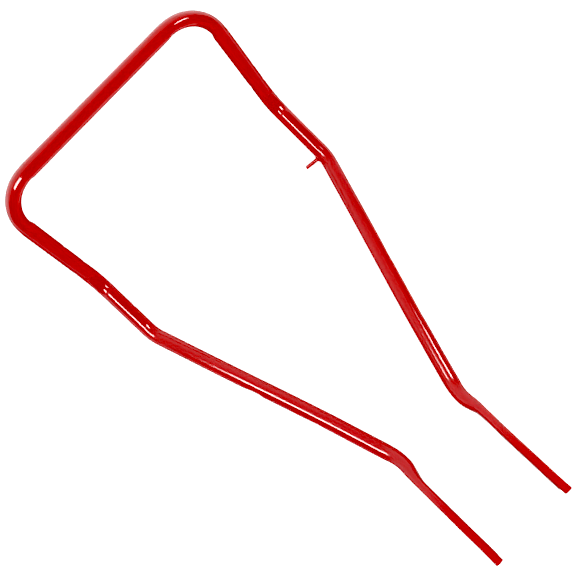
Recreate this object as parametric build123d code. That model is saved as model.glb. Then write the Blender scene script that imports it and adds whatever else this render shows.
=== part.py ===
from build123d import *
import math
import os

os.makedirs("parts", exist_ok=True)

# ---------------------------------------------------------------- dimensions
# Frame: millimetres, +Z up, floor at Z = 0, +Y towards the handle loop,
# X = 0 on the mid plane. The stations below are laid out from the fork ends
# (Y = 0 at the centre of the fork's end faces); the finished parts are then
# moved so that the origin is on the floor under the middle of the frame.

TUBE_OD = 25.4            # 1 in steel tube
WALL = 1.65               # 16 gauge wall
TUBE_R = TUBE_OD / 2

LOOP_HALF = 216.4         # half of the loop's width, tube centre to mid plane
CROSSBAR_Y = 894.0        # handle crossbar centreline
CROSSBAR_Z = 258.6
LOOP_FOOT_Y = 775.3       # theoretical corner where the loop meets the shoulders
LOOP_FOOT_Z = 51.3
SHOULDER_Y = 647.3        # theoretical corner where the arms turn inwards
ARM_Z = TUBE_R            # the two arms lie on the floor
NECK_HALF = 73.7          # half of the fork's width, centre to mid plane
NECK_Y = 216.0            # theoretical corner where the fork ends turn parallel
FORK_Z = 97.8             # centre height of the fork's end faces

BEND_R = 67.0             # centreline radius of the loop and shoulder bends
NECK_BEND_R = 85.0        # centreline radius of the neck bends

FLAT_T = 12.7             # thickness of the pressed fork ends
FLAT_FROM = 22.0          # pressing starts this far before the neck corner
FLAT_TO = 62.0            # and is complete this far after it
TONGUE_L = 10.0           # the lower corner of each fork end is cut back this far
TONGUE_H = 14.0           # height of the tongue left above the cut

CROSS_HOLE_D = 8.0        # through hole across both loop legs
CROSS_HOLES = {1: (800.6, 95.5), -1: (798.1, 91.1)}   # Y, Z on each leg
LEFT_UPPER_HOLE = (7.0, 822.1, 133.0)     # diameter, Y, Z; inner wall only
RIGHT_LOWER_HOLE = (5.0, 786.0, 70.9)
LEFT_SHOULDER_HOLE = (4.0, 704.5, 30.0)
RIGHT_OUTER_HOLE = (4.0, 815.6, 121.7)
RIGHT_OUTER_TILT = 22.0   # degrees up from the X axis

PEG_D = 6.35              # 1/4 in rod
PEG_ROOT = (212.0, 655.3, 13.2)           # starts inside the tube, coped to it
PEG_KINK = (191.0, 655.6, 19.2)
PEG_TIP = (177.2, 656.6, 21.8)
PEG_KINK_R = 12.0
WELD_LEG = 3.2            # leg of the fillet weld around the peg's root

# ---------------------------------------------------------------- centreline


def V(p):
    return Vector(*p)


def corner(a, b, c, r):
    """Tangent points and middle of the arc that rounds corner b."""
    u = (a - b).normalized()
    w = (c - b).normalized()
    ang = math.acos(max(-1.0, min(1.0, u.dot(w))))
    t = r / math.tan(ang / 2)
    bis = (u + w).normalized()
    mid = b + bis * (r / math.sin(ang / 2) - r)
    return b + u * t, mid, b + w * t


def side(sx):
    return [
        Vector(0, CROSSBAR_Y, CROSSBAR_Z),
        Vector(sx * LOOP_HALF, CROSSBAR_Y, CROSSBAR_Z),
        Vector(sx * LOOP_HALF, LOOP_FOOT_Y, LOOP_FOOT_Z),
        Vector(sx * LOOP_HALF, SHOULDER_Y, ARM_Z),
        Vector(sx * NECK_HALF, NECK_Y, ARM_Z),
        Vector(sx * NECK_HALF, 0, FORK_Z),
    ]


RADII = [BEND_R, BEND_R, BEND_R, NECK_BEND_R]


def half_edges(sx):
    """Edges from the crossbar's middle to where the pressing starts."""
    pts = side(sx)
    edges = []
    here = pts[0]
    for i in range(1, 4):
        p0, m, p1 = corner(pts[i - 1], pts[i], pts[i + 1], RADII[i - 1])
        edges.append(Edge.make_line(here, p0))
        edges.append(Edge.make_three_point_arc(p0, m, p1))
        here = p1
    u = (pts[3] - pts[4]).normalized()
    stop = pts[4] + u * FLAT_FROM
    edges.append(Edge.make_line(here, stop))
    return edges, stop


def flat_path(sx):
    """Centreline samples from the start of the pressing to its end."""
    pts = side(sx)
    b = pts[4]
    u = (pts[3] - b).normalized()
    w = (pts[5] - b).normalized()
    ang = math.acos(u.dot(w))
    t = NECK_BEND_R / math.tan(ang / 2)
    bis = (u + w).normalized()
    cen = b + bis * (NECK_BEND_R / math.sin(ang / 2))
    out = []
    p_in = b + u * t
    p_out = b + w * t
    length_in = FLAT_FROM - t
    length_out = FLAT_TO - t
    sweep_ang = math.pi - ang
    e0 = (p_in - cen).normalized()
    e1 = (p_out - cen).normalized()
    total = length_in + NECK_BEND_R * sweep_ang + length_out
    n = 11
    for k in range(n + 1):
        s = total * k / n
        if s <= length_in:
            p = b + u * (FLAT_FROM - s)
            d = u * -1
        elif s <= length_in + NECK_BEND_R * sweep_ang:
            a = (s - length_in) / NECK_BEND_R
            k0 = math.sin(sweep_ang - a) / math.sin(sweep_ang)
            k1 = math.sin(a) / math.sin(sweep_ang)
            radial = e0 * k0 + e1 * k1
            p = cen + radial * NECK_BEND_R
            q0 = -math.cos(sweep_ang - a) / math.sin(sweep_ang)
            q1 = math.cos(a) / math.sin(sweep_ang)
            d = (e0 * q0 + e1 * q1).normalized()
        else:
            p = p_out + w * (s - length_in - NECK_BEND_R * sweep_ang)
            d = w
        x = s / total
        out.append((p, d, x * x * (3 - 2 * x)))
    return out, w, pts[5]


def section(p, d, press, inset):
    """Pressed tube outline: a slot shape of constant perimeter, one edge."""
    a = TUBE_R + (FLAT_T / 2 - TUBE_R) * press
    h = math.pi * (TUBE_R - a)
    r = a - inset
    xdir = Vector(0, 0, 1).cross(d).normalized()
    ydir = d.cross(xdir).normalized()
    if press == 0:
        return Wire.make_circle(r, Plane(origin=p, x_dir=xdir, z_dir=d))
    per = 2 * math.pi * r + 2 * h
    pts = []
    n = 40
    for k in range(n):
        s = per * k / n
        if s < h / 2:
            x, y = r, s
        elif s < h / 2 + math.pi * r:
            t = (s - h / 2) / r
            x, y = r * math.cos(t), h / 2 + r * math.sin(t)
        elif s < 1.5 * h + math.pi * r:
            x, y = -r, h / 2 - (s - h / 2 - math.pi * r)
        elif s < 1.5 * h + 2 * math.pi * r:
            t = (s - 1.5 * h - math.pi * r) / r
            x, y = -r * math.cos(t), -h / 2 - r * math.sin(t)
        else:
            x, y = r, -h / 2 + (s - 1.5 * h - 2 * math.pi * r)
        pts.append(p + xdir * x + ydir * y)
    return Wire([Edge.make_spline(pts, periodic=True)])


def fork_end(sx):
    rows, w, tip = flat_path(sx)
    skins = []
    for inset in (0.0, WALL):
        wires = [section(p, d, k, inset) for p, d, k in rows]
        skins.append((Solid.make_loft(wires, False), wires[-1]))
    neck = skins[0][0].cut(skins[1][0])
    run = (tip - rows[-1][0]).length
    blade = Solid.extrude(Face(skins[0][1], [skins[1][1]]), w * run)
    return one(neck), one(blade), skins[0][0]


def one(shape):
    s = sorted(shape.solids(), key=lambda q: q.volume, reverse=True)
    return s[0]


def swept(edges, start, direction, radius, inner=0.0):
    plane = Plane(origin=start, z_dir=direction)
    face = Face(Wire.make_circle(radius, plane),
                [Wire.make_circle(inner, plane)] if inner else None)
    return Solid.sweep(face, Wire(edges))


sides = {sx: half_edges(sx)[0] for sx in (-1, 1)}
start = Vector(0, CROSSBAR_Y, CROSSBAR_Z)

pieces = []
for sx in (-1, 1):
    pieces.append(swept(sides[sx], start, Vector(sx, 0, 0), TUBE_R, TUBE_R - WALL))
    neck, blade, skin = fork_end(sx)
    pieces += [neck, blade]
for q in pieces:
    print("piece", round(q.volume, 1), q.is_valid)
tube = pieces[0].fuse(*pieces[1:])
print("fused", tube.volume, tube.is_valid, len(tube.solids()))
outer = swept(sides[1], start, Vector(1, 0, 0), TUBE_R)

# step cut at the lower corner of each fork end
fork_dir = (side(1)[5] - side(1)[4]).normalized()
half_tall = FLAT_T / 2 + math.pi * (TUBE_R - FLAT_T / 2) / 2
for sx in (-1, 1):
    tip = side(sx)[5]
    pl = Plane(origin=tip, x_dir=Vector(1, 0, 0), z_dir=fork_dir)
    up = 1 if pl.y_dir.Z > 0 else -1
    cut_h = 2 * half_tall - TONGUE_H + 4
    c = Box(FLAT_T + 8, cut_h, 2 * TONGUE_L)
    yc = up * (half_tall - TONGUE_H - cut_h / 2)
    tube = tube.cut(pl * Pos(0, yc, 0) * c)

# holes
for sx in (-1, 1):
    pl = Plane(origin=(sx * LOOP_HALF, *CROSS_HOLES[sx]), z_dir=(1, 0, 0))
    tube = tube.cut(pl * Cylinder(CROSS_HOLE_D / 2, TUBE_OD + 10))


def wall_hole(tube, spec, sx, inwards, tilt=0.0):
    d, y, z = spec
    t = math.radians(tilt)
    dirx = (-sx if inwards else sx) * math.cos(t)
    axis = Vector(dirx, 0, math.sin(t))
    start = Vector(sx * LOOP_HALF, y, z)
    pl = Plane(origin=start + axis * (TUBE_R / 2 + 5), z_dir=axis)
    return tube.cut(pl * Cylinder(d / 2, TUBE_R + 4))


tube = wall_hole(tube, LEFT_UPPER_HOLE, -1, True)
tube = wall_hole(tube, LEFT_SHOULDER_HOLE, -1, True)
tube = wall_hole(tube, RIGHT_LOWER_HOLE, 1, True)
tube = wall_hole(tube, RIGHT_OUTER_HOLE, 1, False, RIGHT_OUTER_TILT)

# ---------------------------------------------------------------- peg and weld
root, kink, tip = V(PEG_ROOT), V(PEG_KINK), V(PEG_TIP)
p0, m, p1 = corner(root, kink, tip, PEG_KINK_R)
peg_edges = [Edge.make_line(root, p0), Edge.make_three_point_arc(p0, m, p1), Edge.make_line(p1, tip)]
first = (kink - root).normalized()
peg = Solid.sweep(Face(Wire.make_circle(PEG_D / 2, Plane(origin=root, z_dir=first))), Wire(peg_edges))
peg_raw = peg
peg = peg.cut(outer)

surface = 8.9             # from the root to the tube's skin along the peg
wpl = Plane(origin=root + first * (surface + 2.0), z_dir=first)
weld = wpl * Cone(PEG_D / 2 + WELD_LEG + 1.0, PEG_D / 2 + 0.3, WELD_LEG + 5.0)
weld = weld.cut(outer).cut(peg_raw)


def save(shape, name):
    s = one(shape)
    print(name, "solids", len(shape.solids()), "volume", round(s.volume, 1), "valid", s.is_valid)
    export_step(s, f"parts/{name}.step")


box = tube.bounding_box()
shift = Pos(0, -(box.min.Y + box.max.Y) / 2, 0)
print("shift", round(-(box.min.Y + box.max.Y) / 2, 3), "min z", round(box.min.Z, 4), "x", round(box.min.X, 3), round(box.max.X, 3), "size", box.size)
tube, peg, weld = (shift * q for q in (tube, peg, weld))

save(tube, "tube_frame")
save(peg, "strap_peg")
save(weld, "peg_weld_bead")
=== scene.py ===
import math
import bpy
import bmesh
from mathutils import Vector, Matrix, noise


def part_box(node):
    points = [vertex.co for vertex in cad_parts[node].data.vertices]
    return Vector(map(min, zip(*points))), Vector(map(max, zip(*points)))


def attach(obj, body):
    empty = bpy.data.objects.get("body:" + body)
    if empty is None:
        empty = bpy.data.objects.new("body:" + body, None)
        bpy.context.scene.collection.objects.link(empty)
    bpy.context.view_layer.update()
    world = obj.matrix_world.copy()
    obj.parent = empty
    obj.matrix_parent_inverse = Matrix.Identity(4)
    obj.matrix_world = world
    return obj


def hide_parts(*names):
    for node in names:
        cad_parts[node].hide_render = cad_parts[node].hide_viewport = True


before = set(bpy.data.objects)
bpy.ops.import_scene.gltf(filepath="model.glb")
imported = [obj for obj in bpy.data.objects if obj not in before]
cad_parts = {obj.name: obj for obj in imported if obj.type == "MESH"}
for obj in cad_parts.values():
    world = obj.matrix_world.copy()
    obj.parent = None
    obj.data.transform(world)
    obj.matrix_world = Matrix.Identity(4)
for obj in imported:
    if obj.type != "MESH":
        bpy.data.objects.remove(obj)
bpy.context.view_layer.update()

# ------------------------------------------------------------------ sizes
# Stations are the CAD's own, in metres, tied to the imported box.
MM = 0.001
tube_lo, tube_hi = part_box("tube_frame")
TUBE_R = 12.7 * MM
WALL = 1.65 * MM
LOOP_HALF = tube_hi.x - TUBE_R
CROSSBAR_Y = tube_hi.y - TUBE_R
CROSSBAR_Z = tube_hi.z - TUBE_R
SHIFT = CROSSBAR_Y - 894.0 * MM
NECK_HALF = 73.7 * MM
BEND_R = 67.0 * MM
NECK_BEND_R = 85.0 * MM
FLAT_T = 12.7 * MM
FLAT_FROM = 22.0 * MM
FLAT_TO = 62.0 * MM
TONGUE_L = 10.0 * MM
TONGUE_H = 14.0 * MM
FLAT_HALF = FLAT_T / 2 + math.pi * (TUBE_R - FLAT_T / 2) / 2


def yy(mm):
    return mm * MM + SHIFT


# ------------------------------------------------------------------ centreline
CORNERS = [
    Vector((-NECK_HALF, yy(0.0), 97.8 * MM)),
    Vector((-NECK_HALF, yy(216.0), TUBE_R)),
    Vector((-LOOP_HALF, yy(647.3), TUBE_R)),
    Vector((-LOOP_HALF, yy(775.3), 51.3 * MM)),
    Vector((-LOOP_HALF, CROSSBAR_Y, CROSSBAR_Z)),
    Vector((LOOP_HALF, CROSSBAR_Y, CROSSBAR_Z)),
    Vector((LOOP_HALF, yy(775.3), 51.3 * MM)),
    Vector((LOOP_HALF, yy(647.3), TUBE_R)),
    Vector((NECK_HALF, yy(216.0), TUBE_R)),
    Vector((NECK_HALF, yy(0.0), 97.8 * MM)),
]
RADII = [NECK_BEND_R, BEND_R, BEND_R, BEND_R, BEND_R, BEND_R, BEND_R, NECK_BEND_R]

spans = []      # ("line", length, p, d) or ("arc", length, centre, e0, e1, angle, radius)
here = CORNERS[0]
for i in range(1, 9):
    a, b, c = CORNERS[i - 1], CORNERS[i], CORNERS[i + 1]
    u = (a - b).normalized()
    w = (c - b).normalized()
    ang = math.acos(max(-1.0, min(1.0, u.dot(w))))
    r = RADII[i - 1]
    t = r / math.tan(ang / 2)
    bis = (u + w).normalized()
    cen = b + bis * (r / math.sin(ang / 2))
    p0, p1 = b + u * t, b + w * t
    spans.append(("line", (p0 - here).length, here, (p0 - here).normalized()))
    turn = math.pi - ang
    spans.append(("arc", r * turn, cen, (p0 - cen).normalized(), (p1 - cen).normalized(), turn, r))
    here = p1
spans.append(("line", (CORNERS[9] - here).length, here, (CORNERS[9] - here).normalized()))
TOTAL = sum(s[1] for s in spans)
starts = []
acc = 0.0
for s in spans:
    starts.append(acc)
    acc += s[1]


def at(s):
    """Point and direction on the centreline."""
    for k in range(len(spans) - 1, -1, -1):
        if s >= starts[k] or k == 0:
            break
    sp = spans[k]
    q = s - starts[k]
    if sp[0] == "line":
        return sp[2] + sp[3] * q, sp[3].copy()
    _, ln, cen, e0, e1, turn, r = sp
    a = q / r
    sn = math.sin(turn)
    rad = e0 * (math.sin(turn - a) / sn) + e1 * (math.sin(a) / sn)
    d = e0 * (-math.cos(turn - a) / sn) + e1 * (math.cos(a) / sn)
    return cen + rad * r, d.normalized()


def smooth(x):
    x = max(0.0, min(1.0, x))
    return x * x * (3 - 2 * x)


# flattening along the tube
s_flat_l = starts[1] + spans[1][1] / 2
s_flat_r = starts[15] + spans[15][1] / 2
# The ends are pressed from the inner side: slowly through the neck, then fast.
# Distances are from each tip along the tube, in mm.
PRESS = {
    -1: ((160, 1.0), (174, 0.84), (186, 0.53), (198, 0.31), (210, 0.24), (222, 0.13), (232, 0.05), (242, 0.0)),
    1: ((158, 1.0), (170, 0.95), (180, 0.84), (192, 0.47), (204, 0.30), (216, 0.21), (228, 0.12), (240, 0.0)),
}
# How far each arm and end runs inward (+) of its straight line.
DRIFT = {
    -1: ((0, 0.5), (30, 0.4), (60, -0.45), (100, -0.95), (150, -1.7), (164, -1.8), (174, -1.05), (186, 0.56), (198, 2.4),
         (208, 2.6), (222, 1.4), (234, -0.2), (246, -1.05), (262, -0.9), (294, -0.3), (318, 0.2), (340, 0.6), (420, 0.7), (480, 0.3), (560, 0.0)),
    1: ((0, 1.35), (24, 1.3), (60, 0.5), (96, -0.2), (130, -1.1), (150, -2.0), (170, -2.5), (181, -2.4), (192, -0.65), (204, 1.05),
        (214, 1.2), (228, 0.3), (240, -0.8), (252, -0.9), (276, -0.55), (300, -0.2), (330, 0.05), (360, 0.5), (420, 0.6), (480, 0.3), (560, 0.0)),
}


def curve(table, q):
    """Smooth curve through a table's points."""
    if q <= table[0][0]:
        return table[0][1]
    if q >= table[-1][0]:
        return table[-1][1]
    for k in range(len(table) - 1):
        (x0, y0), (x1, y1) = table[k], table[k + 1]
        if x0 <= q <= x1:
            ya, xa = (table[k - 1][1], table[k - 1][0]) if k else (y0, x0)
            yb, xb = (table[k + 2][1], table[k + 2][0]) if k + 2 < len(table) else (y1, x1)
            m0 = (y1 - ya) / (x1 - xa) if x1 != xa else 0.0
            m1 = (yb - y0) / (xb - x0) if xb != x0 else 0.0
            w = x1 - x0
            t = (q - x0) / w
            return ((2 * t ** 3 - 3 * t ** 2 + 1) * y0 + (t ** 3 - 2 * t ** 2 + t) * w * m0
                    + (-2 * t ** 3 + 3 * t ** 2) * y1 + (t ** 3 - t ** 2) * w * m1)


FLAT_A, FLAT_B = 150 * MM, 246 * MM
FLAT_C, FLAT_D = TOTAL - 246 * MM, TOTAL - 150 * MM
PAINT = 0.25 * MM       # the coat's thickness
VIS_T = 13.3 * MM       # over the paint


def press(s):
    q, side = (s, -1) if s < TOTAL / 2 else (TOTAL - s, 1)
    return max(0.0, min(1.0, curve(PRESS[side], q / MM))) if q < FLAT_B else 0.0


def drift(s):
    q, side = (s, -1) if s < TOTAL / 2 else (TOTAL - s, 1)
    return curve(DRIFT[side], q / MM) * MM


# bends flatten a little towards their inner side
BEND_OVAL = {3: 0.035, 5: 0.055, 7: 0.085, 9: 0.085, 11: 0.055, 13: 0.035}
RAMP = 9.0 * MM


def bend_at(s):
    """Strength of the flattening and the bend's outward direction."""
    for k, amount in BEND_OVAL.items():
        sp = spans[k]
        s0, s1 = starts[k], starts[k] + sp[1]
        if s0 - RAMP * 0.6 < s < s1 + RAMP * 0.6:
            wgt = smooth((s - s0 + RAMP * 0.6) / RAMP) * smooth((s1 + RAMP * 0.6 - s) / RAMP)
            a = max(0.0, min(sp[1], s - s0)) / sp[6]
            sn = math.sin(sp[5])
            rad = sp[3] * (math.sin(sp[5] - a) / sn) + sp[4] * (math.sin(a) / sn)
            return amount * wgt, rad.normalized()
    return 0.0, None


# clamp marks left by the bender on the outer side of both arms
MARKS = []
arm_l0, arm_l1 = starts[2], starts[3]
arm_r0, arm_r1 = starts[14], starts[15]
for dist, left, right in ((769.0, 1.6, 0.55), (882.0, 0.45, 0.4)):
    off = dist * MM
    mid = TOTAL / 2
    MARKS.append((mid - off, -1, left * MM))
    MARKS.append((mid + off, 1, right * MM))


def mark_push(s, theta):
    """Inward push of the skin at a clamp mark; theta 0 is the outer side."""
    push = 0.0
    for s0, sgn, depth in MARKS:
        q = (s - s0) * sgn          # positive towards the fork end
        if -34 * MM < q < 12 * MM:
            along = smooth((q + 34 * MM) / (30 * MM)) * smooth((12 * MM - q) / (11 * MM))
            around = smooth(1 - abs(theta) / 0.95)
            push += depth * along * around
    return push


HOLES = [   # s is found from the position; (side, radius, y, z, direction, through)
    dict(x=1, r=4.0, y=800.6, z=95.5, tilt=0.0, inner=True, through=True),
    dict(x=-1, r=4.0, y=798.1, z=91.1, tilt=0.0, inner=True, through=True),
    dict(x=-1, r=3.5, y=822.1, z=133.0, tilt=0.0, inner=True, through=False),
    dict(x=1, r=2.5, y=786.0, z=70.9, tilt=0.0, inner=True, through=False),
    dict(x=-1, r=2.0, y=704.5, z=30.0, tilt=0.0, inner=True, through=False),
    dict(x=1, r=2.0, y=815.6, z=121.7, tilt=22.0, inner=False, through=False),
]
for h in HOLES:
    side_dir = -h["x"] if h["inner"] else h["x"]
    t = math.radians(h["tilt"])
    h["axis"] = Vector((side_dir * math.cos(t), 0, math.sin(t)))
    h["pos"] = Vector((h["x"] * LOOP_HALF, yy(h["y"]), h["z"] * MM))
    h["mouths"] = [h["pos"] + h["axis"] * TUBE_R]
    if h["through"]:
        h["mouths"].append(h["pos"] - h["axis"] * TUBE_R)


def dimple(p):
    """Slight dish that drilling and deburring leave round each hole."""
    push = 0.0
    for h in HOLES:
        for m in h["mouths"]:
            d = (p - m).length
            rim = h["r"] * MM + 3.2 * MM
            if d < rim:
                push += 0.55 * MM * smooth((rim - d) / (3.2 * MM))
    return push


def stations():
    out = []
    fine = []
    for k, sp in enumerate(spans):
        if sp[0] == "arc":
            fine.append((starts[k] - 14 * MM, starts[k] + sp[1] + 14 * MM, 1.8 * MM))
    fine.append((FLAT_A - 4 * MM, FLAT_B + 4 * MM, 1.6 * MM))
    fine.append((FLAT_C - 4 * MM, FLAT_D + 4 * MM, 1.6 * MM))
    for s0, sgn, depth in MARKS:
        fine.append((s0 - 36 * MM, s0 + 36 * MM, 1.8 * MM))
    for h in HOLES:
        best = min(range(0, 2000), key=lambda i: (at(TOTAL * i / 2000)[0] - h["pos"]).length)
        s0 = TOTAL * best / 2000
        fine.append((s0 - 12 * MM, s0 + 12 * MM, 0.8 * MM))
    fine.append((0, 14 * MM, 1.0 * MM))
    fine.append((TOTAL - 14 * MM, TOTAL, 1.0 * MM))
    s = 0.0
    while s < TOTAL - 1e-9:
        out.append(s)
        step = 5.0 * MM
        for a, b, st in fine:
            if a <= s <= b:
                step = min(step, st)
            elif s < a < s + step:
                step = min(step, max(a - s, 0.4 * MM))
        s += step
    out.append(TOTAL)
    return out


N = 96


def frame_at(d):
    n1 = Vector((0, 0, 1)).cross(d).normalized()     # towards the outside of the U
    n2 = d.cross(n1).normalized()                    # upwards
    return n1, n2


def ring(s, inset):
    p, d = at(s)
    n1, n2 = frame_at(d)
    p = p - n1 * drift(s) + Vector((0, 0, PAINT))
    k = press(s)
    a = TUBE_R + PAINT + (VIS_T / 2 - TUBE_R - PAINT) * k
    h = math.pi * (TUBE_R + PAINT - a)
    r = a - inset
    per = 2 * math.pi * r + 2 * h
    oval, rad = bend_at(s)
    pts = []
    for i in range(N):
        q = per * i / N
        if q < h / 2:
            x, y = r, q
        elif q < h / 2 + math.pi * r:
            t = (q - h / 2) / r
            x, y = r * math.cos(t), h / 2 + r * math.sin(t)
        elif q < 1.5 * h + math.pi * r:
            x, y = -r, h / 2 - (q - h / 2 - math.pi * r)
        elif q < 1.5 * h + 2 * math.pi * r:
            t = (q - 1.5 * h - math.pi * r) / r
            x, y = -r * math.cos(t), -h / 2 - r * math.sin(t)
        else:
            x, y = r, -h / 2 + (q - 1.5 * h - 2 * math.pi * r)
        if k > 0:           # pressed faces are very slightly dished
            x *= 1 - 0.045 * k * (1 - min(1.0, abs(y) / (h / 2 + 1e-9))) ** 0.7 if abs(y) < h / 2 else 1.0
        v = n1 * x + n2 * y
        if oval:
            c = v.dot(rad)
            v = v - rad * c + rad * (c * (1 - oval * (1.35 if c < 0 else 0.65))) + (v - rad * c) * (oval * 0.35)
        theta = math.atan2(y, x)
        push = mark_push(s, theta) if k == 0 else 0.0
        w = p + v
        near = min(s, TOTAL - s)
        if near < 16 * MM:          # the end is cut upright, not square to the tube
            out = -d if s < TOTAL / 2 else d
            ahead = w.y - (p.y + 0.4 * MM)
            if ahead > 0:
                w = w + out * (ahead / abs(out.y) * (1 - near / (16 * MM)))
        if k == 0:
            push += dimple(w)
        if push:
            w = w - v.normalized() * push
        pts.append(w)
    return pts


def new_object(name, verts, faces):
    me = bpy.data.meshes.new(name)
    me.from_pydata([tuple(v) for v in verts], [], faces)
    me.validate()
    me.update()
    ob = bpy.data.objects.new(name, me)
    bpy.context.scene.collection.objects.link(ob)
    return ob


def cylinder(name, centre, axis, radius, length, n=48):
    axis = axis.normalized()
    ref = Vector((0, 0, 1)) if abs(axis.z) < 0.9 else Vector((1, 0, 0))
    a = axis.cross(ref).normalized()
    b = axis.cross(a).normalized()
    verts, faces = [], []
    for e in (-0.5, 0.5):
        for i in range(n):
            t = 2 * math.pi * i / n
            verts.append(centre + axis * (length * e) + a * (radius * math.cos(t)) + b * (radius * math.sin(t)))
    for i in range(n):
        j = (i + 1) % n
        faces.append((i, j, n + j, n + i))
    faces.append(tuple(range(n - 1, -1, -1)))
    faces.append(tuple(range(n, 2 * n)))
    ob = new_object(name, verts, faces)
    bm = bmesh.new()
    bm.from_mesh(ob.data)
    bmesh.ops.recalc_face_normals(bm, faces=bm.faces)
    bm.to_mesh(ob.data)
    bm.free()
    return ob


# ------------------------------------------------------------------ the tube
ss = stations()
verts, faces, inner_flag = [], [], []
LIP = 0.45 * MM      # rounded rim at the open ends
n_rings = len(ss)
for s in ss:
    verts += ring(s, 0.0)
for s in ss:
    verts += ring(s, WALL)
o = n_rings * N
for k in range(n_rings - 1):
    for i in range(N):
        j = (i + 1) % N
        faces.append((k * N + i, k * N + j, (k + 1) * N + j, (k + 1) * N + i))
        inner_flag.append(0)
        faces.append((o + k * N + i, o + (k + 1) * N + i, o + (k + 1) * N + j, o + k * N + j))
        inner_flag.append(1)
for k, flip in ((0, False), (n_rings - 1, True)):
    for i in range(N):
        j = (i + 1) % N
        q = (k * N + i, o + k * N + i, o + k * N + j, k * N + j)
        faces.append(q[::-1] if flip else q)
        inner_flag.append(0)
tube = new_object("bent_tube", verts, faces)
for poly, fl in zip(tube.data.polygons, inner_flag):
    poly.material_index = fl

bm = bmesh.new()
bm.from_mesh(tube.data)
bmesh.ops.recalc_face_normals(bm, faces=bm.faces)
bm.to_mesh(tube.data)
bm.free()

paint = bpy.data.materials.new("red_gloss_paint")
inside = bpy.data.materials.new("tube_inside")
tube.data.materials.append(paint)
tube.data.materials.append(inside)
for poly, fl in zip(tube.data.polygons, inner_flag):
    poly.material_index = fl

cutters = []
for h in HOLES:
    if h["through"]:
        cutters.append(cylinder("cut", h["pos"], h["axis"], h["r"] * MM, 4 * TUBE_R))
    else:
        cutters.append(cylinder("cut", h["pos"] + h["axis"] * (TUBE_R * 1.1), h["axis"], h["r"] * MM, TUBE_R * 1.6))


def block(name, origin, ax, ay, az, lo, hi):
    vs = []
    for z in (lo[2], hi[2]):
        for y in (lo[1], hi[1]):
            for x in (lo[0], hi[0]):
                vs.append(origin + ax * x + ay * y + az * z)
    fs = [(0, 2, 3, 1), (4, 5, 7, 6), (0, 1, 5, 4), (2, 6, 7, 3), (0, 4, 6, 2), (1, 3, 7, 5)]
    ob = new_object(name, vs, fs)
    bm = bmesh.new()
    bm.from_mesh(ob.data)
    bmesh.ops.recalc_face_normals(bm, faces=bm.faces)
    bm.to_mesh(ob.data)
    bm.free()
    return ob


for sx, s_end in ((-1, 0.0), (1, TOTAL)):
    p, d = at(s_end)
    out = d if sx > 0 else -d
    n1 = Vector((1, 0, 0))
    up = n1.cross(out).normalized()
    if up.z < 0:
        up = -up
    cutters.append(block("cut", p, n1, up, out, (-0.012, -0.022, -TONGUE_L), (0.012, FLAT_HALF - TONGUE_H, 0.006)))

for c in cutters:
    m = tube.modifiers.new("cut", "BOOLEAN")
    m.operation = "DIFFERENCE"
    m.solver = "EXACT"
    m.object = c
bpy.context.view_layer.update()
dg = bpy.context.evaluated_depsgraph_get()
cut_mesh = bpy.data.meshes.new_from_object(tube.evaluated_get(dg))
tube.modifiers.clear()
tube.data = cut_mesh
for c in cutters:
    bpy.data.objects.remove(c)

bev = tube.modifiers.new("edge", "BEVEL")
bev.width = 0.35 * MM
bev.segments = 2
bev.limit_method = "ANGLE"
bev.angle_limit = math.radians(50)
bev.use_clamp_overlap = True
dg = bpy.context.evaluated_depsgraph_get()
bev_mesh = bpy.data.meshes.new_from_object(tube.evaluated_get(dg))
tube.modifiers.clear()
tube.data = bev_mesh
for poly in tube.data.polygons:
    poly.use_smooth = True
tube.data.set_sharp_from_angle(angle=math.radians(38))

# ------------------------------------------------------------------ peg
PEG_R = 3.175 * MM
root = Vector((212.0 * MM, yy(655.3), 13.2 * MM))
kink = Vector((191.0 * MM, yy(655.6), 19.2 * MM))
ptip = Vector((177.2 * MM, yy(656.6), 21.8 * MM))


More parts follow.
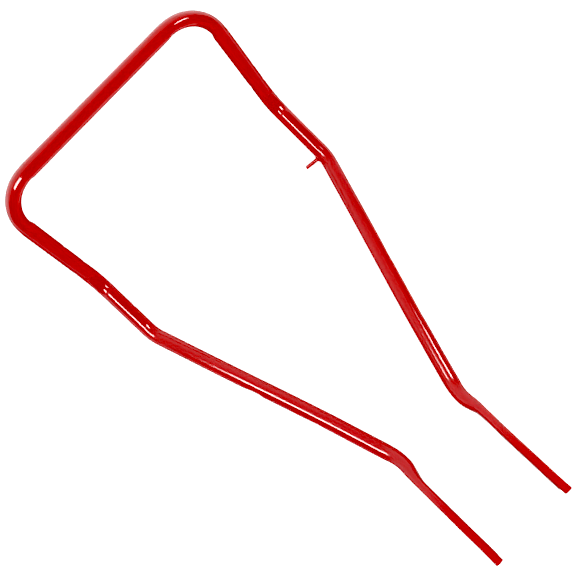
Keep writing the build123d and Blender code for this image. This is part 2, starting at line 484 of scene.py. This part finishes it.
def rod(name, a, b, c, fillet, radius, skip):
    u, w = (a - b).normalized(), (c - b).normalized()
    ang = math.acos(u.dot(w))
    t = fillet / math.tan(ang / 2)
    bis = (u + w).normalized()
    cen = b + bis * (fillet / math.sin(ang / 2))
    p0, p1 = b + u * t, b + w * t
    turn = math.pi - ang
    e0, e1 = (p0 - cen).normalized(), (p1 - cen).normalized()
    line = []
    run = (p0 - a).length
    q = skip
    while q < run:
        line.append((a - u * q, -u))
        q += 1.2 * MM
    for i in range(9):
        al = turn * i / 8
        sn = math.sin(turn)
        line.append((cen + (e0 * (math.sin(turn - al) / sn) + e1 * (math.sin(al) / sn)) * fillet,
                     (e0 * (-math.cos(turn - al) / sn) + e1 * (math.cos(al) / sn)).normalized()))
    run = (c - p1).length
    cham = 0.5 * MM
    q = 1.2 * MM
    while q < run - cham:
        line.append((p1 + w * q, w))
        q += 1.2 * MM
    rings = [(p, d, radius) for p, d in line]
    rings.append((c - w * cham, w, radius))
    rings.append((c - w * cham * 0.35, w, radius - cham * 0.45))
    rings.append((c, w, radius - cham))
    n = 40
    vs, fs = [], []
    for idx, (p, d, r) in enumerate(rings):
        x = d.cross(Vector((0, 1, 0))).normalized()
        y = d.cross(x).normalized()
        for i in range(n):
            th = 2 * math.pi * i / n
            rr = r * (1 + 0.012 * math.sin(3 * th + idx * 0.7))
            vs.append(p + x * (rr * math.cos(th)) + y * (rr * math.sin(th)))
    for k in range(len(rings) - 1):
        for i in range(n):
            j = (i + 1) % n
            fs.append((k * n + i, k * n + j, (k + 1) * n + j, (k + 1) * n + i))
    last = (len(rings) - 1) * n
    # sawn end face, drawn in to a slight dish
    m = len(vs)
    for i in range(n):
        vs.append(c - w * (0.15 * MM) + (vs[last + i] - c) * 0.55)
    for i in range(n):
        j = (i + 1) % n
        fs.append((last + i, last + j, m + j, m + i))
    fs.append(tuple(m + i for i in range(n)))
    fs.append(tuple(range(n - 1, -1, -1)))
    ob = new_object(name, vs, fs)
    bm = bmesh.new()
    bm.from_mesh(ob.data)
    bmesh.ops.recalc_face_normals(bm, faces=bm.faces)
    bm.to_mesh(ob.data)
    bm.free()
    for poly in ob.data.polygons:
        poly.use_smooth = True
    ob.data.set_sharp_from_angle(angle=math.radians(50))
    return ob


peg = rod("peg_rod", root, kink, ptip, 12.0 * MM, PEG_R, 5.5 * MM)

# ------------------------------------------------------------------ weld bead
best_s = min((starts[13] + spans[13][1] * i / 60 for i in range(61)), key=lambda s: (at(s)[0] - root).length)
axis_p, axis_d = at(best_s)
pdir = (kink - root).normalized()


def on_tube(a, d):
    """Where the line a + t d leaves the tube, taken as straight there."""
    lo, hi = 0.0, 30 * MM
    for _ in range(40):
        t = (lo + hi) / 2
        q = a + d * t
        s = min((best_s + k * 1.5 * MM for k in range(-8, 9)), key=lambda s_: (at(s_)[0] - q).length)
        c, dd = at(s)
        rel = q - c
        rel -= dd * rel.dot(dd)
        if rel.length < TUBE_R * 0.985:
            lo = t
        else:
            hi = t
    return a + d * hi


px = pdir.cross(Vector((0, 0, 1))).normalized()
py = pdir.cross(px).normalized()
BEAD_N, BEAD_M = 96, 18
vs, fs = [], []
for i in range(BEAD_N):
    th = 2 * math.pi * i / BEAD_N
    radial = px * math.cos(th) + py * math.sin(th)
    ripple = 1 + 0.10 * math.sin(th * 15 + 0.6 * math.sin(3 * th)) + 0.10 * math.sin(2 * th + 0.8)
    foot = on_tube(root + radial * (PEG_R + 0.6 * MM), pdir)
    br = 2.25 * MM * ripple
    along = -pdir * 0.0
    centre = foot + radial * (0.15 * MM) - pdir * (0.35 * MM)
    for j in range(BEAD_M):
        ph = 2 * math.pi * j / BEAD_M
        vs.append(centre + radial * (br * 1.12 * math.cos(ph)) + pdir * (br * 0.92 * math.sin(ph)))
for i in range(BEAD_N):
    a = (i + 1) % BEAD_N
    for j in range(BEAD_M):
        b = (j + 1) % BEAD_M
        fs.append((i * BEAD_M + j, a * BEAD_M + j, a * BEAD_M + b, i * BEAD_M + b))
weld = new_object("weld_bead", vs, fs)
bm = bmesh.new()
bm.from_mesh(weld.data)
bmesh.ops.recalc_face_normals(bm, faces=bm.faces)
bm.to_mesh(weld.data)
bm.free()
for poly in weld.data.polygons:
    poly.use_smooth = True

# ------------------------------------------------------------------ materials


class Nodes:
    def __init__(self, name):
        self.mat = bpy.data.materials.get(name) or bpy.data.materials.new(name)
        self.mat.use_nodes = True
        self.nt = self.mat.node_tree
        self.bsdf = self.nt.nodes["Principled BSDF"]
        self.coord = self.nt.nodes.new("ShaderNodeTexCoord")

    def noise(self, scale, detail=3.0, rough=0.5):
        n = self.nt.nodes.new("ShaderNodeTexNoise")
        n.inputs["Scale"].default_value = scale
        n.inputs["Detail"].default_value = detail
        n.inputs["Roughness"].default_value = rough
        self.nt.links.new(self.coord.outputs["Object"], n.inputs["Vector"])
        return n.outputs["Fac"]

    def ramp(self, fac, stops):
        r = self.nt.nodes.new("ShaderNodeValToRGB")
        els = r.color_ramp.elements
        while len(els) > 1:
            els.remove(els[-1])
        els[0].position, els[0].color = stops[0][0], (*stops[0][1], 1)
        for pos, col in stops[1:]:
            e = els.new(pos)
            e.color = (*col, 1)
        self.nt.links.new(fac, r.inputs["Fac"])
        return r.outputs["Color"]

    def map(self, fac, a, b, lo, hi):
        m = self.nt.nodes.new("ShaderNodeMapRange")
        m.inputs["From Min"].default_value = a
        m.inputs["From Max"].default_value = b
        m.inputs["To Min"].default_value = lo
        m.inputs["To Max"].default_value = hi
        self.nt.links.new(fac, m.inputs["Value"])
        return m.outputs["Result"]

    def mix(self, fac, a, b):
        m = self.nt.nodes.new("ShaderNodeMix")
        m.data_type = "RGBA"
        self.nt.links.new(fac, m.inputs["Factor"])
        for sock, val in ((m.inputs["A"], a), (m.inputs["B"], b)):
            if isinstance(val, tuple):
                sock.default_value = (*val, 1)
            else:
                self.nt.links.new(val, sock)
        return m.outputs["Result"]

    def bump(self, height, strength, distance, below=None):
        b = self.nt.nodes.new("ShaderNodeBump")
        b.inputs["Strength"].default_value = strength
        b.inputs["Distance"].default_value = distance
        self.nt.links.new(height, b.inputs["Height"])
        if below is not None:
            self.nt.links.new(below, b.inputs["Normal"])
        return b.outputs["Normal"]

    def link(self, out, name):
        self.nt.links.new(out, self.bsdf.inputs[name])


def red_paint(name, base, orange_peel, rough_lo, rough_hi):
    m = Nodes(name)
    broad = m.noise(9.0, 2.0, 0.5)
    mid = m.noise(160.0, 4.0, 0.6)
    fine = m.noise(900.0, 2.0, 0.5)
    specks = m.noise(420.0, 5.0, 0.75)
    r, g, b = base
    body = m.ramp(broad, [(0.30, (r * 0.95, g * 0.85, b * 0.85)), (0.55, (r, g, b)), (0.75, (r * 1.06, g * 1.4, b * 1.2))])
    grain = m.mix(m.map(mid, 0.42, 0.62, 0.0, 0.35), body, (r * 0.93, g * 0.8, b * 0.8))
    marked = m.mix(m.map(specks, 0.71, 0.76, 0.0, 0.55), grain, (r * 0.55, g * 0.7, b * 0.7))
    m.link(marked, "Base Color")
    m.link(m.map(mid, 0.35, 0.65, rough_lo, rough_hi), "Roughness")
    # the paint has lost some of its gloss on the fork ends, where it is handled
    split = m.nt.nodes.new("ShaderNodeSeparateXYZ")
    m.nt.links.new(m.coord.outputs["Object"], split.inputs[0])
    m.link(m.map(split.outputs["Y"], -0.40, -0.31, 0.3, 0.5), "Specular IOR Level")
    m.bsdf.inputs["IOR"].default_value = 1.5
    m.bsdf.inputs["Coat Weight"].default_value = 0.0
    low = m.bump(mid, orange_peel, 0.0004)
    m.link(m.bump(fine, orange_peel * 0.5, 0.0001, low), "Normal")
    return m.mat


RED = (0.41, 0.006, 0.006)
paint = red_paint("red_gloss_paint", RED, 0.04, 0.07, 0.13)
paint_peg = red_paint("red_paint_on_rod", (0.39, 0.006, 0.006), 0.08, 0.12, 0.22)
paint_weld = red_paint("red_paint_on_weld", (0.40, 0.006, 0.006), 0.25, 0.14, 0.30)


def inside_paint():
    m = Nodes("tube_inside")
    broad = m.noise(60.0, 4.0, 0.6)
    fine = m.noise(700.0, 4.0, 0.6)
    col = m.ramp(broad, [(0.35, (0.030, 0.004, 0.004)), (0.55, (0.075, 0.006, 0.005)), (0.75, (0.05, 0.03, 0.025))])
    m.link(col, "Base Color")
    m.link(m.map(fine, 0.3, 0.7, 0.45, 0.75), "Roughness")
    m.bsdf.inputs["Metallic"].default_value = 0.2
    m.link(m.bump(fine, 0.3, 0.0002), "Normal")
    return m.mat


inside = inside_paint()
peg.data.materials.append(paint_peg)
weld.data.materials.append(paint_weld)
for node, mat in (("tube_frame", paint), ("strap_peg", paint_peg), ("peg_weld_bead", paint_weld)):
    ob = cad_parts[node]
    if not ob.material_slots:
        ob.data.materials.append(mat)
    for sl in ob.material_slots:
        sl.material = mat

for ob, node, slot in ((tube, "tube_frame", "red_paint"), (peg, "strap_peg", "red_paint_peg"),
                       (weld, "peg_weld_bead", "red_paint_weld")):
    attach(ob, "root")
    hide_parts(node)

# ------------------------------------------------------------------ floor
FLOOR = 6.0
floor = new_object("floor", [Vector((-FLOOR, -FLOOR, 0)), Vector((FLOOR, -FLOOR, 0)), Vector((FLOOR, FLOOR, 0)), Vector((-FLOOR, FLOOR, 0))], [(0, 1, 2, 3)])
fm = Nodes("pale_floor")
fcol = fm.ramp(fm.noise(1.5, 3.0, 0.5), [(0.3, (0.84, 0.84, 0.84)), (0.7, (0.88, 0.88, 0.88))])
fm.link(fcol, "Base Color")
fm.link(fm.map(fm.noise(40.0, 3.0, 0.5), 0.3, 0.7, 0.8, 0.95), "Roughness")
fm.bsdf.inputs["Specular IOR Level"].default_value = 0.1
fm.bsdf.inputs["Emission Color"].default_value = (1, 1, 1, 1)
fm.bsdf.inputs["Emission Strength"].default_value = 0.65
floor.data.materials.append(fm.mat)
floor.visible_glossy = False

# ------------------------------------------------------------------ light
# A pale studio: bright on the loop's side, dark behind the camera.
world = bpy.data.worlds.new("studio")
bpy.context.scene.world = world
world.use_nodes = True
wn = world.node_tree
wn.nodes.clear()
w_out = wn.nodes.new("ShaderNodeOutputWorld")
w_mix = wn.nodes.new("ShaderNodeMixShader")
w_cam = wn.nodes.new("ShaderNodeBackground")
w_env = wn.nodes.new("ShaderNodeBackground")
w_path = wn.nodes.new("ShaderNodeLightPath")
w_tc = wn.nodes.new("ShaderNodeTexCoord")
w_sep = wn.nodes.new("ShaderNodeSeparateXYZ")
w_cam.inputs["Color"].default_value = (1, 1, 1, 1)
w_cam.inputs["Strength"].default_value = 1.25
w_env.inputs["Color"].default_value = (1, 1, 1, 1)
wn.links.new(w_tc.outputs["Generated"], w_sep.inputs[0])


def w_step(sock, a, b, lo, hi):
    m = wn.nodes.new("ShaderNodeMapRange")
    m.interpolation_type = "SMOOTHSTEP"
    m.inputs["From Min"].default_value = a
    m.inputs["From Max"].default_value = b
    m.inputs["To Min"].default_value = lo
    m.inputs["To Max"].default_value = hi
    wn.links.new(sock, m.inputs["Value"])
    return m.outputs["Result"]


def w_math(op, a, b):
    m = wn.nodes.new("ShaderNodeMath")
    m.operation = op
    wn.links.new(a, m.inputs[0])
    wn.links.new(b, m.inputs[1])
    return m.outputs[0]


near_wall = w_step(w_sep.outputs["Y"], -0.18, 0.06, 0.9, 3.2)
far_wall = w_step(w_sep.outputs["Y"], 0.26, 0.42, 0.0, 0.5)
horizon = w_step(w_sep.outputs["Z"], 0.02, -0.22, 0.0, 1.0)
low_side = w_step(w_sep.outputs["Z"], -0.32, -0.72, 2.4, 0.35)
low_front = w_step(w_sep.outputs["Y"], -0.30, -0.50, 0.0, 1.0)
w_across = w_math("ABSOLUTE", w_sep.outputs["X"], w_sep.outputs["X"])
low_front = w_math("MULTIPLY", low_front, w_step(w_across, 0.2, 0.4, 1.0, 0.0))
w_low = wn.nodes.new("ShaderNodeMix")
w_low.data_type = "FLOAT"
wn.links.new(low_front, w_low.inputs["Factor"])
wn.links.new(low_side, w_low.inputs["A"])
w_low.inputs["B"].default_value = 2.75
low = w_low.outputs["Result"]
w_upper = w_math("ADD", near_wall, far_wall)
w_blend = wn.nodes.new("ShaderNodeMix")
w_blend.data_type = "FLOAT"
wn.links.new(horizon, w_blend.inputs["Factor"])
wn.links.new(w_upper, w_blend.inputs["A"])
wn.links.new(low, w_blend.inputs["B"])
w_total = w_blend.outputs["Result"]
wn.links.new(w_total, w_env.inputs["Strength"])
wn.links.new(w_path.outputs["Is Camera Ray"], w_mix.inputs["Fac"])
wn.links.new(w_env.outputs[0], w_mix.inputs[1])
wn.links.new(w_cam.outputs[0], w_mix.inputs[2])
wn.links.new(w_mix.outputs[0], w_out.inputs["Surface"])
world.cycles_visibility.diffuse = False


def softbox(name, pos, sx, sy, radiance=None, power=None, aim=Vector((0, 0, 0.05)), gloss=True, diffuse=True):
    pos = Vector(pos)
    li = bpy.data.lights.new(name, "AREA")
    li.shape = "RECTANGLE"
    li.size, li.size_y = sx, sy
    li.energy = power if power is not None else radiance * math.pi * sx * sy
    ob = bpy.data.objects.new(name, li)
    ob.location = pos
    ob.rotation_euler = (aim - pos).to_track_quat("-Z", "Y").to_euler()
    ob.visible_glossy = gloss
    ob.visible_diffuse = diffuse
    ob.visible_camera = False
    bpy.context.scene.collection.objects.link(ob)
    return ob


# two softboxes give the narrow highlights; broad fills light the paint evenly
def overhead(name, x0, x1, y0, y1, z, radiance):
    x, y = (x0 + x1) / 2, (y0 + y1) / 2
    ob = softbox(name, (x, y, z), x1 - x0, y1 - y0, radiance=radiance, diffuse=False)
    ob.rotation_euler = (0, 0, 0)


overhead("softbox_left", -1.45, -0.68, -0.75, 0.27, 2.0, 26)
overhead("softbox_right", 0.90, 1.85, -0.92, -0.33, 1.8, 26)
softbox("key_over_camera", (0.0, -0.45, 2.3), 1.6, 1.6, power=54, gloss=False)
for k, (x, y) in enumerate(((2.2, 0.6), (-2.2, 0.6), (0.0, -2.4), (0.0, 2.4))):
    softbox("fill_%d" % k, (x, y, 1.3), 1.8, 1.4, power=9, gloss=False)

view = bpy.context.scene.view_settings
view.view_transform = "Standard"
view.use_curve_mapping = True
curve = view.curve_mapping
curve.black_level = (0.0, 0.13, 0.13)
curve.white_level = (1.0, 1.0, 1.0)
curve.update()

# ------------------------------------------------------------------ camera
cam = bpy.data.cameras.new("camera")
cam.lens = 50.0
cam.sensor_width = 36.0
cam.sensor_fit = "HORIZONTAL"
cam.dof.use_dof = False
cam_ob = bpy.data.objects.new("camera", cam)
right = Vector((0.69606365, -0.70435066, -0.13923197))
down = Vector((-0.71765977, -0.67675369, -0.16422211))
fwd = Vector((0.0214442, 0.21423022, -0.97654778))
rot = Matrix((right, -down, -fwd)).transposed()
cam_ob.matrix_world = Matrix.Translation(Vector((-0.02559539, 0.23885147 + SHIFT, 1.35405890))) @ rot.to_4x4()
bpy.context.scene.collection.objects.link(cam_ob)
bpy.context.scene.camera = cam_ob

bpy.context.view_layer.update()
